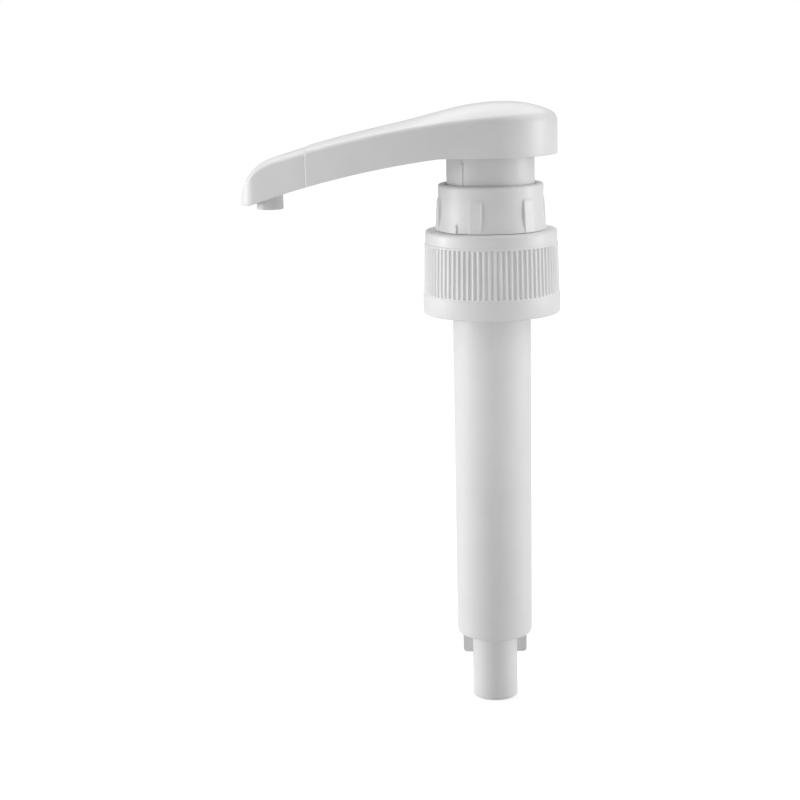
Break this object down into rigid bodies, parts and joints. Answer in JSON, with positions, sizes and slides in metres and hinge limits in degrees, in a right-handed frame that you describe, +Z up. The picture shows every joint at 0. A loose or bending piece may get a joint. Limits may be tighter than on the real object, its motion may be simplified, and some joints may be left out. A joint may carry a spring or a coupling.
{
  "type": "condiment pump dispenser",
  "caption": "Plunger pump for a gallon condiment jar: domed head with a hooded drooping spout, ribbed locking collar, knurled screw closure and long barrel with a dip tube socket.",
  "frame": {"origin": "on the pump's axis, at the sealing face of the container's neck (the gasket's underside)", "axes": "+Z up along the pump's axis, -X along the spout"},
  "size_m": [0.0974, 0.042, 0.1881],
  "materials": {
    "white_plastic": "semi-gloss injection moulded polypropylene, white",
    "natural_plastic": "natural, slightly translucent polyethylene",
    "stainless_steel": "polished stainless steel balls and drawn spring wire",
    "soft_seal": "soft grey elastomer",
    "gasket_foam": "closed-cell polyethylene foam liner"
  },
  "bodies": {
    "barrel_assembly": {"pump_barrel": "white_plastic", "neck_gasket": "gasket_foam", "locking_collar": "white_plastic", "stem_guide_bush": "natural_plastic", "stem_wiper": "soft_seal", "inlet_ball_cage": "natural_plastic", "return_spring": "stainless_steel"},
    "closure_ring": {"closure": "white_plastic"},
    "piston": {"piston_cup": "natural_plastic"},
    "head": {"head_shell": "white_plastic", "spout_nose": "white_plastic", "delivery_tube": "natural_plastic", "outlet_nozzle": "white_plastic", "stem": "white_plastic", "stem_seal_ring": "soft_seal", "discharge_valve_seat": "natural_plastic", "discharge_ball_stop": "natural_plastic", "piston_retainer": "natural_plastic"},
    "upper_ball": {"discharge_ball": "stainless_steel"},
    "lower_ball": {"inlet_ball": "stainless_steel"}
  },
  "joints": [
    {"name": "pump_stroke", "type": "slide", "parent": "barrel_assembly", "child": "piston", "axis": [0, 0, 1], "range_m": [0, 0.086], "deforming": ["return_spring"]},
    {"name": "head_turn", "type": "hinge", "parent": "piston", "child": "head", "pos_m": [0, 0, 0.02], "axis": [0, 0, 1], "continuous": true},
    {"name": "closure_spin", "type": "hinge", "parent": "barrel_assembly", "child": "closure_ring", "pos_m": [0, 0, 0], "axis": [0, 0, 1], "continuous": true},
    {"name": "discharge_ball_lift", "type": "slide", "parent": "head", "child": "upper_ball", "axis": [0, 0, 1], "range_m": [0, 0.0018]},
    {"name": "inlet_ball_lift", "type": "slide", "parent": "barrel_assembly", "child": "lower_ball", "axis": [0, 0, 1], "range_m": [0, 0.0022]}
  ]
}
